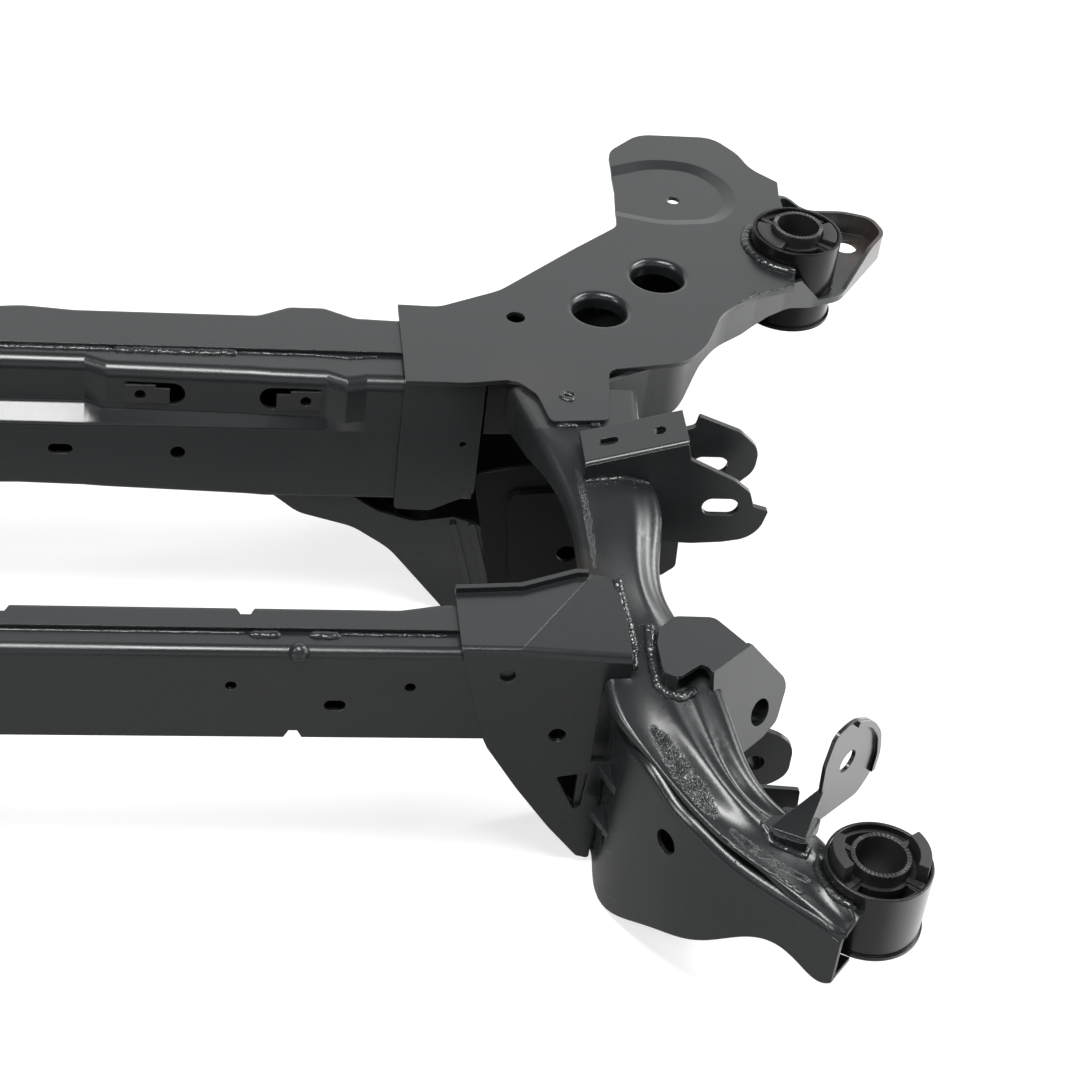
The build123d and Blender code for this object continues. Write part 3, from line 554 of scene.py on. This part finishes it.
@dataclass
class Welds:
    """Weld beads, rough coated patches and spatter that lie on the pressings.

    Attributes:
        seams: the beads.
        patches: the rough patches.
        skin: the surface that all of them lie on.
        material: their material.
        step: distance between a bead's points in millimetres.
        seed: start of the random draws.
        drift: share of the last stray that a bead keeps, and share of the next one.
        pitch: turn of the ripple per millimetre of bead.
        jitter: how much the size of a bead swings at random.
        taper: share of its size at the first and last points, unless it is short.
        tip: size of the very last point before that.
        shortest: number of points up to which a bead is short.
        steepest: sine of the largest tilt of a bead's section.
        crust: each lump texture with its size in metres and its share of the lumps' height.
        scatter: how far the drops lie from a bead in millimetres.
        drop_size: smallest and largest radius of a drop.
        drop_height: height of a drop as a share of its radius.
    """

    seams: tuple[Seam, ...]
    patches: tuple[Grit, ...]
    skin: Skin
    material: bpy.types.Material
    step: float = 0.8
    seed: int = 7
    drift: tuple[float, float] = (0.8, 0.2)
    pitch: float = 2.3
    jitter: float = 0.08
    taper: tuple[float, ...] = (0.35, 0.6, 0.8, 0.92)
    tip: float = 0.7
    shortest: int = 10
    steepest: float = 0.7
    crust: tuple[tuple[str, float, float], ...] = (("crust", 0.0021, 1.0), ("grit", 0.0009, 0.45))
    scatter: float = 4.0
    drop_size: tuple[float, float] = (0.35, 0.9)
    drop_height: float = 0.6

    def build(self) -> None:
        """Make every bead with its spatter, and every patch, on each side."""
        for number, seam in enumerate(self.seams):
            for side in (Side.RIGHT, Side.LEFT) if seam.only is None else (seam.only,):
                dice = random.Random(self.seed + number)
                name = f"{side.name.lower()}_{seam.name}" if seam.only is None else seam.name
                self.finish(self.bead(seam, side, self.dense(seam, dice)), name)
                if seam.spatter:
                    self.finish(self.drops(seam, side, dice), f"{name}_spatter")
            LOG.info("weld seam %s: %d points", seam.name, len(seam.path))

        for patch in self.patches:
            for side in Side:
                self.finish(self.rough(patch, side), f"{side.name.lower()}_{patch.name}", smooth=False)

    def rough(self, patch: Grit, side: Side) -> bpy.types.Object:
        """Lay a thin sheet on the surface, lifted into fine grains that run out at its rim.

        Args:
            patch: the patch.
            side: which half it lies on.

        Returns:
            The patch as a closed mesh piece.
        """
        dice = random.Random(self.seed)
        rows = patch.rows()
        mean, swing = patch.share
        deselect()
        bpy.ops.mesh.primitive_grid_add(x_subdivisions=patch.columns - 1, y_subdivisions=len(rows) - 1,
                                        size=0.01)
        piece = bpy.context.object
        for i, (middle, across, wide) in enumerate(rows):
            fade = min(1.0, i / patch.fade, (len(rows) - 1 - i) / patch.fade)
            for j in range(patch.columns):
                off = 2.0 * j / (patch.columns - 1) - 1.0
                spot = middle + across * off * wide
                at, normal = self.skin.under(tuple(spot), side) or (
                    place(spot.x * side.value, spot.y, spot.z), UP)
                thick = mean + swing * noise.noise(spot * patch.clump)
                grain = dice.random() ** 2
                lift = patch.rise * grain * thick * fade * (1.0 - off ** 2) - patch.sink
                piece.data.vertices[i * patch.columns + j].co = at + normal * (lift / PER_METRE)
        self.thicken(piece, patch.thickness)
        return piece

    @staticmethod
    def thicken(piece: bpy.types.Object, thickness: float) -> None:
        """Close a sheet into a thin solid whose faces point outward.

        Args:
            piece: the active piece.
            thickness: in metres.
        """
        modify(piece, "thickness", "SOLIDIFY", thickness=thickness, offset=0.0)
        bpy.ops.object.mode_set(mode="EDIT")
        bpy.ops.mesh.select_all(action="SELECT")
        bpy.ops.mesh.normals_make_consistent(inside=False)
        bpy.ops.object.mode_set(mode="OBJECT")

    def finish(self, piece: bpy.types.Object, name: str, smooth: bool = True) -> None:
        """Name, coat and register the active piece.

        Args:
            piece: the piece.
            name: its name.
            smooth: whether its facets are shaded smooth.
        """
        piece.name = name
        piece.data.materials.clear()
        piece.data.materials.append(self.material)
        if smooth:
            bpy.ops.object.shade_smooth()
        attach(piece, "root")

    def dense(self, seam: Seam, dice: random.Random) -> list[tuple[Vector, float]]:
        """Space points along a bead, rippled like a moving arc leaves them.

        Args:
            seam: the seam.
            dice: the seam's random draws.

        Returns:
            Drawing points with the bead's share of its size at each.
        """
        spots: list[tuple[Vector, float]] = []
        along = 0.0
        stray = Vector((0.0, 0.0, 0.0))
        kept, fresh = self.drift
        for start, end in zip(seam.path, seam.path[1:]):
            a, b = Vector(start), Vector(end)
            count = max(int((b - a).length / self.step), 1)
            for i in range(count):
                along += self.step
                stray = stray * kept + Vector([dice.uniform(-1, 1) for _ in range(3)]) * fresh * seam.wander
                swell = (1.0 + seam.ripple * math.sin(along * self.pitch)
                         + dice.uniform(-self.jitter, self.jitter))
                spots.append((a.lerp(b, i / count) + stray, swell))
        spots.append((Vector(seam.path[-1]), self.tip))
        if len(spots) > self.shortest:
            for i, share in enumerate(self.taper):
                spots[i] = (spots[i][0], spots[i][1] * share)
                spots[-1 - i] = (spots[-1 - i][0], spots[-1 - i][1] * share)
        return spots

    def bead(self, seam: Seam, side: Side, spots: list[tuple[Vector, float]]) -> bpy.types.Object:
        """Sweep one bead along its seam, tilted with the surface that it lies on.

        Args:
            seam: the seam.
            side: which half it lies on.
            spots: drawing points with the bead's share of its size.

        Returns:
            The bead as a mesh piece.
        """
        deselect()
        bpy.ops.curve.primitive_bezier_circle_add(radius=0.001, location=(0, 0, 0))
        section = bpy.context.object
        section.data.resolution_u = 4
        section.scale = (seam.width / 2, seam.height, 1)
        bpy.ops.object.transform_apply(location=False, rotation=False, scale=True)
        found = [(self.skin.under(tuple(spot), side), share) for spot, share in spots]
        laid = [(*hit, share) for hit, share in found if hit]
        curve = blank_curve("3D")
        curve.twist_mode = "Z_UP"
        line = curve.splines.new("POLY")
        line.points.add(len(laid) - 1)
        for i, (point, (at, normal, share)) in enumerate(zip(line.points, laid)):
            ahead = (laid[min(i + 1, len(laid) - 1)][0] - laid[max(i - 1, 0)][0]).normalized()
            level = Vector((ahead.y, -ahead.x, 0.0)).normalized()
            point.co = (*at, 1.0)
            point.radius = share
            point.tilt = math.asin(max(-self.steepest, min(self.steepest, normal.dot(level))))
        curve.bevel_mode = "OBJECT"
        curve.bevel_object = section
        curve.use_fill_caps = True
        bpy.ops.object.convert(target="MESH")
        piece = bpy.context.object
        for name, size, share in self.crust:
            texture = bpy.data.textures.get(name) or bpy.data.textures.new(name, "CLOUDS")
            texture.noise_scale = size
            modify(piece, name, "DISPLACE", texture=texture, texture_coords="LOCAL",
                   strength=seam.lumps * share / PER_METRE)
        bpy.data.objects.remove(section)
        piece.select_set(True)
        return piece

    def drops(self, seam: Seam, side: Side, dice: random.Random) -> bpy.types.Object:
        """Scatter small flat drops beside a seam and join them into one piece.

        Args:
            seam: the seam.
            side: which half it lies on.
            dice: the seam's random draws.

        Returns:
            The drops as one mesh piece.
        """
        made = []
        for _ in range(seam.spatter):
            a, b = dice.choice(list(zip(seam.path, seam.path[1:])))
            spot = Vector(a).lerp(Vector(b), dice.random())
            away = seam.width * 0.5 + abs(dice.gauss(0, self.scatter))
            turn = dice.uniform(0, math.tau)
            spot += Vector((math.cos(turn), math.sin(turn), 0)) * away
            size = dice.uniform(*self.drop_size)
            hit = self.skin.under(tuple(spot), side)
            if hit is None:
                continue
            at, normal = hit
            deselect()
            bpy.ops.mesh.primitive_ico_sphere_add(subdivisions=1, radius=size / PER_METRE,
                                                  location=(0, 0, 0))
            drop = bpy.context.object
            drop.matrix_world = (Matrix.Translation(at) @ normal.to_track_quat("Z", "Y").to_matrix().to_4x4()
                                 @ Matrix.Diagonal((1, 1, self.drop_height, 1)))
            bpy.ops.object.transform_apply()
            made.append(drop)
        for drop in made:
            drop.select_set(True)
        bpy.ops.object.join()
        return bpy.context.object


def arc(centre: Point, radius: float, start: float, end: float, steps: int = 24) -> tuple[Point, ...]:
    """Space points along a level arc.

    Args:
        centre: its centre.
        radius: in millimetres.
        start: first angle in degrees from the +X direction.
        end: last angle.
        steps: number of equal steps between them.

    Returns:
        The drawing points.
    """
    points = []
    for i in range(steps + 1):
        turn = math.radians(start + (end - start) * i / steps)
        points.append((centre[0] + radius * math.cos(turn), centre[1] + radius * math.sin(turn), centre[2]))
    return tuple(points)


# Drawing points round the foot of the lower link bracket and along that of the line tab
BRACKET_FOOT = ((387, 166, 189), (386, 150, 184.6), (386.5, 134, 181), (388, 122, 178.6), (393.5, 115, 177.4),
                (400, 113.5, 175.8), (407, 118.5, 174.6), (411, 122.5, 175.6))
TAB_FOOT = ((439.5, 32, 154.6), (442, 26, 152.9), (444.5, 19, 150.2), (450, 16.5, 149), (456, 14, 148),
            (463, 11.5, 146.6), (466, 17, 147), (468, 20.5, 147))

# Name, path, then width, height and lumps
SEAMS = (
    Seam("front_lap_weld_middle", ((-142, 148.4, 193.4), (142, 148.4, 193.4)),
         2.6, 1.1, 0.5, only=Side.RIGHT),
    Seam("front_lap_weld_end", ((145, 147.6, 193.6), (150, 147.0, 193.6), (164, 147.4, 193.6)),
         6.5, 2.2, 1.2),
    Seam("front_lap_weld_start", ((180, 147.4, 193.6), (194, 147.0, 193.6), (199, 147.6, 193.6)),
         6.5, 2.2, 1.2),
    Seam("front_lap_weld", ((199, 148.4, 193.4), (262, 148.0, 193.4)), 2.8, 1.1, 0.9, wander=1.0),
    Seam("rear_lap_weld_middle", ((-60, 395.4, 220), (60, 395.4, 220)), 4.4, 1.7, 1.2, only=Side.RIGHT,
         wander=0.8),
    Seam("rear_lap_weld", ((60, 395.4, 220), (100, 395, 220), (141, 395.4, 220)),
         6.4, 2.1, 1.5, wander=1.2, spatter=26),
    Seam("rear_lap_weld_end", ((141, 395.4, 220), (190, 395.2, 220), (212, 392.5, 220), (232, 395.4, 220)),
         2.6, 1.2, 0.9, wander=0.8),
    Seam("tongue_weld", ((343, 320.5, 222.3), (357, 320.9, 222.3)), 4.6, 2.0, 1.0),
    Seam("tongue_weld_end", ((365, 321.4, 222.3), (371, 322.2, 222.3)), 4.2, 2.0, 1.0),
    Seam("plug_weld", arc((353, 349, 224.6), 4.4, 20, 350, 14), 3.2, 1.3, 0.6),
    Seam("cap_edge_weld", ((374, 133, 188), (376, 150, 190), (372.5, 176, 196), (369.5, 199, 200)),
         6.0, 2.2, 1.6, wander=0.8, spatter=30),
    Seam("near_ear_weld", ((357, 273.4, 214), (370, 273.4, 215.5), (390, 273.4, 215), (398, 273.4, 213.4)),
         4.0, 1.6, 1.0, spatter=20),
    Seam("bracket_weld", BRACKET_FOOT, 7.0, 2.6, 1.5, wander=0.5, spatter=36),
    Seam("rail_edge_weld", ((414, 24, 151), (427, 10, 149), (440, -1, 147), (458, -16, 146)),
         3.4, 1.0, 0.9, ripple=0.0, spatter=40),
    Seam("tab_weld", TAB_FOOT, 4.2, 1.6, 1.1, spatter=30),
    Seam("front_can_weld", arc((*FRONT_CAN, 147.5), 34.4, 160, 238), 5.0, 2.0, 1.3, spatter=24),
    Seam("plate_edge_weld", ((484, 464, 225), (499.5, 475.6, 225), (526, 487.2, 225), (531, 507, 225)),
         1.5, 0.4, 0.8, wander=0.3, spatter=46),
    Seam("rear_can_weld", arc((*REAR_CAN, 225.6), 35.4, 138, 262), 7.4, 3.0, 0.9, ripple=0.03))

PATCHES = (
    Grit("rail_edge_grit", (((381, 97, 169), 2.0), ((387, 86, 167), 5.0), ((396, 66, 162), 6.5),
                            ((407, 47, 157), 6.0), ((414, 34, 154), 3.0))),
    Grit("rail_foot_grit", (((420, 28, 151), 2.0), ((432, 15, 149), 3.6), ((446, 4, 147), 3.8),
                            ((464, -8, 146), 2.0))),
    Grit("rail_seam_grit", (((352, 285, 216), 2.0), ((355, 262, 210.7), 3.0), ((357, 235, 203.8), 3.0),
                            ((358, 205, 196.4), 2.0)), 0.4))


@dataclass
class Bushings:
    """Rubber blocks that carry the sleeves of the rear bushings.

    Attributes:
        centre: the bushing's axis on the drawing.
        top: height of the blocks' top in millimetres.
        middle: radius of their middle line.
        width: their thickness between the sleeve and the can.
        height: their height.
        finish: their material.
        spans: first and last angle of each, in degrees from the +X direction.
        edge: width of their rounded edges in metres.
        crease: sharpest angle that is shaded smooth, in degrees.
    """

    centre: tuple[float, float]
    top: float
    middle: float
    width: float
    height: float
    finish: bpy.types.Material
    spans: tuple[tuple[float, float], ...]
    edge: float = 0.0012
    crease: float = 40.0

    def build(self) -> None:
        """Make each block on both sides."""
        for side in Side:
            for number, (start, end) in enumerate(self.spans, 1):
                piece = self.block(side, start, end)
                piece.name = f"{side.name.lower()}_rear_rubber_block_{number}"
                piece.data.materials.append(self.finish)
                bpy.ops.object.shade_smooth_by_angle(angle=math.radians(self.crease))
                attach(piece, "root")

    def block(self, side: Side, start: float, end: float) -> bpy.types.Object:
        """Make one arched block between the sleeve and the can.

        Args:
            side: which half it lies on.
            start: first angle in degrees from the +X direction.
            end: last angle in degrees.

        Returns:
            The block as a mesh piece.
        """
        curve = blank_curve("2D")
        curve.fill_mode = "NONE"
        curve.extrude = self.height / 2 / PER_METRE
        spots = arc((*self.centre, 0.0), self.middle, start, end)
        line = curve.splines.new("POLY")
        line.points.add(len(spots) - 1)
        for point, (x, y, _) in zip(line.points, spots):
            point.co = (*place(x * side.value, y, 0.0).xy, 0.0, 1.0)
        bpy.ops.object.convert(target="MESH")
        piece = bpy.context.object
        piece.location.z = place(0, 0, self.top - self.height / 2).z
        bpy.ops.object.transform_apply()
        Welds.thicken(piece, self.width / PER_METRE)
        modify(piece, "edges", "BEVEL", width=self.edge, segments=3)
        return piece


@dataclass
class Pressings:
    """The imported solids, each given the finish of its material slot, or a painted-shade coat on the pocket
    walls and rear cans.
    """

    finishes: dict[Slot, Coat]
    shaded: dict[str, Coat]

    def dress(self, nodes: dict[str, bpy.types.Object], record: dict) -> dict[Slot, bpy.types.Material]:
        """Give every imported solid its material.

        Args:
            nodes: node name to its object.
            record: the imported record.

        Returns:
            The material of each slot.
        """
        slots = {part["node"]: Slot(part["material_slot"]) for part in record["subparts"]}
        made = {slot: finish.build() for slot, finish in self.finishes.items()}
        painted_shade_coats = {piece: finish.build() for piece, finish in self.shaded.items()}
        for name, node in nodes.items():
            # Pocket walls and rear cans take their painted-shade coats in place of their slot's finish
            coat = painted_shade_coats.get(name.partition("_")[2], made[slots[name]])
            if not node.material_slots:
                node.data.materials.append(coat)
            for holder in node.material_slots:
                holder.material = coat
            LOG.info("dressed %s as %s", name, slots[name].value)
        return made


@dataclass(frozen=True)
class Lamp:
    """One soft panel light.

    Attributes:
        name: its name.
        at: its centre in metres.
        towards: the point that it faces.
        size: width and height of the panel.
        glow: brightness of its face, where 1 is white.
    """

    name: str
    at: Point
    towards: Point
    size: tuple[float, float]
    glow: float


LAMPS = (
    Lamp("back_wall", at=(0.5, 3.0, 1.6), towards=(0.3, 0.0, 0.2), size=(6.0, 2.9), glow=0.85),
    Lamp("overhead_panel", at=(-0.1, -0.42, 2.1), towards=(0.2, -0.1, 0.1), size=(1.1, 0.48), glow=20.0),
    Lamp("left_panel", at=(-1.5, -0.5, 1.4), towards=(0.2, 0.0, 0.1), size=(0.45, 0.7), glow=10.0),
    Lamp("front_wall", at=(0.0, -3.4, 1.5), towards=(0.0, 0.0, 0.2), size=(5.0, 1.8), glow=0.5),
    Lamp("right_strip", at=(1.6, 0.5, 1.6), towards=(0.3, 0.0, 0.1), size=(0.3, 0.9), glow=18.0),
    Lamp("right_panel", at=(2.4, 0.0, 0.9), towards=(0.3, 0.0, 0.1), size=(2.2, 1.5), glow=2.6))


@dataclass
class Studio:
    """Pale floor, soft lights and the camera at the photograph's angle.

    Attributes:
        lamps: the panel lights.
        eye: the camera's place on the drawing.
        pitch: how far it looks down, in degrees.
        yaw: how far it looks to the right.
        roll: how far it leans.
        lens: its focal length in millimetres.
        sensor: width of its picture in millimetres.
        furthest: how far it sees, in metres.
        floor_size: edge of the floor in metres.
        floor_grey: the floor's colour under the lamps.
        floor_glow: its own brightness.
        mirrored: brightness of the backdrop in reflections.
        fill: its brightness as a light.
    """

    lamps: tuple[Lamp, ...]
    eye: Point = (87.63, -1036.52, 1224.46)
    pitch: float = 38.47
    yaw: float = 10.62
    roll: float = 7.75
    lens: float = 88.599
    sensor: float = 36.0
    furthest: float = 50.0
    floor_size: float = 14.0
    floor_grey: float = 0.4
    floor_glow: float = 0.72
    mirrored: float = 0.16
    fill: float = 0.08

    def camera(self) -> None:
        """Set the camera where the photograph was taken from."""
        pitch, yaw, roll = (math.radians(a) for a in (self.pitch, self.yaw, self.roll))
        ahead = Vector((math.sin(yaw) * math.cos(pitch), math.cos(yaw) * math.cos(pitch), -math.sin(pitch)))
        level = Vector((math.cos(yaw), -math.sin(yaw), 0.0))
        upright = level.cross(ahead)
        right = level * math.cos(roll) + upright * math.sin(roll)
        up = upright * math.cos(roll) - level * math.sin(roll)
        turn = Matrix((right, up, -ahead)).transposed()
        deselect()
        bpy.ops.object.camera_add()
        camera = bpy.context.object
        camera.name = "camera"
        camera.matrix_world = Matrix.Translation(place(*self.eye)) @ turn.to_4x4()
        camera.data.lens = self.lens
        camera.data.sensor_width = self.sensor
        camera.data.clip_end = self.furthest
        bpy.context.scene.camera = camera

    def lights(self) -> None:
        """Hang the panel lights; a face's brightness is its power over four times its area."""
        for panel in self.lamps:
            deselect()
            facing = (Vector(panel.towards) - Vector(panel.at)).to_track_quat("-Z", "Y")
            bpy.ops.object.light_add(type="AREA", location=panel.at, rotation=facing.to_euler())
            lamp = bpy.context.object
            lamp.name = panel.name
            lamp.data.shape = "RECTANGLE"
            lamp.data.size, lamp.data.size_y = panel.size
            lamp.data.energy = 4.0 * panel.size[0] * panel.size[1] * panel.glow

    @staticmethod
    def shown(t: Tree, mirrored: object) -> bpy.types.NodeSocket:
        """Brightness that is full to the camera, as told in reflections and none as a light.

        Args:
            t: the tree that it goes into.
            mirrored: brightness in reflections, a value or a socket.

        Returns:
            The brightness's socket.
        """
        path = t.add("ShaderNodeLightPath")
        direct = t.maths("MAXIMUM", path.outputs["Is Camera Ray"], path.outputs["Is Transmission Ray"])
        return t.maths("MAXIMUM", direct, t.maths("MULTIPLY", path.outputs["Is Glossy Ray"], mirrored))

    def world(self) -> None:
        """White backdrop for the camera, a dimmer one for reflections and for fill."""
        world = bpy.data.worlds.new("studio")
        bpy.context.scene.world = world
        t = Tree.of(world)
        strength = t.maths("MAXIMUM", self.shown(t, self.mirrored), self.fill)
        back = t.add("ShaderNodeBackground", {"Color": (1, 1, 1, 1), "Strength": strength})
        t.add("ShaderNodeOutputWorld", {0: back.outputs[0]})

    def floor(self) -> None:
        """Pale floor, white to the camera but for a faint shadow; in reflections it glows as a painted pool
        of light beside the part and shows painted shadow under it.
        """
        deselect()
        bpy.ops.mesh.primitive_plane_add(size=self.floor_size, location=(0, 0, 0))
        ground = bpy.context.object
        ground.name = "floor"
        material = bpy.data.materials.new("pale_floor")
        t = Tree.of(material)
        where = t.add("ShaderNodeSeparateXYZ", {0: t.add("ShaderNodeTexCoord").outputs["Object"]})
        # Painted light: in reflections the floor glows far brighter beside the part than under it, a painted
        # pool of light at the sides and painted shadow below
        further = t.ramp(where.outputs[1], low=-0.25, high=-0.08, start=0.0, end=0.1)
        beside = t.maths("SUBTRACT", t.maths("ABSOLUTE", where.outputs[0]), further)
        painted_glow_beside = t.ramp(beside, low=0.52, high=0.68, start=0.05, end=2.3)
        strength = t.maths("MULTIPLY", self.shown(t, painted_glow_beside), self.floor_glow)
        diffuse = t.add("ShaderNodeBsdfDiffuse", {"Color": (*[self.floor_grey] * 3, 1)})
        glow = t.add("ShaderNodeEmission", {"Color": (1, 1, 1, 1), "Strength": strength})
        both = t.add("ShaderNodeAddShader", {0: diffuse.outputs[0], 1: glow.outputs[0]})
        t.add("ShaderNodeOutputMaterial", {0: both.outputs[0]})
        ground.data.materials.append(material)

    def build(self) -> None:
        """Make the whole studio."""
        bpy.context.scene.view_settings.view_transform = "Standard"
        self.camera()
        self.lights()
        self.world()
        self.floor()
        LOG.info("studio ready")


def main() -> None:
    """Load the frame, dress it, add the welds and the rubber blocks, and set the studio."""
    logging.basicConfig(level=logging.INFO, format="%(name)s: %(message)s")
    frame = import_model()
    made = Pressings(FINISHES, SHADED).dress(frame["nodes"], frame["record"])
    Welds(SEAMS, PATCHES, Skin(frame["nodes"]), WELD.build()).build()
    Bushings(REAR_CAN, top=237.6, middle=23.6, width=10.4, height=9.0, finish=made[Slot.RUBBER],
             spans=((158, 236), (-30, 26))).build()
    Studio(LAMPS).build()


if __name__ == "__main__":
    main()
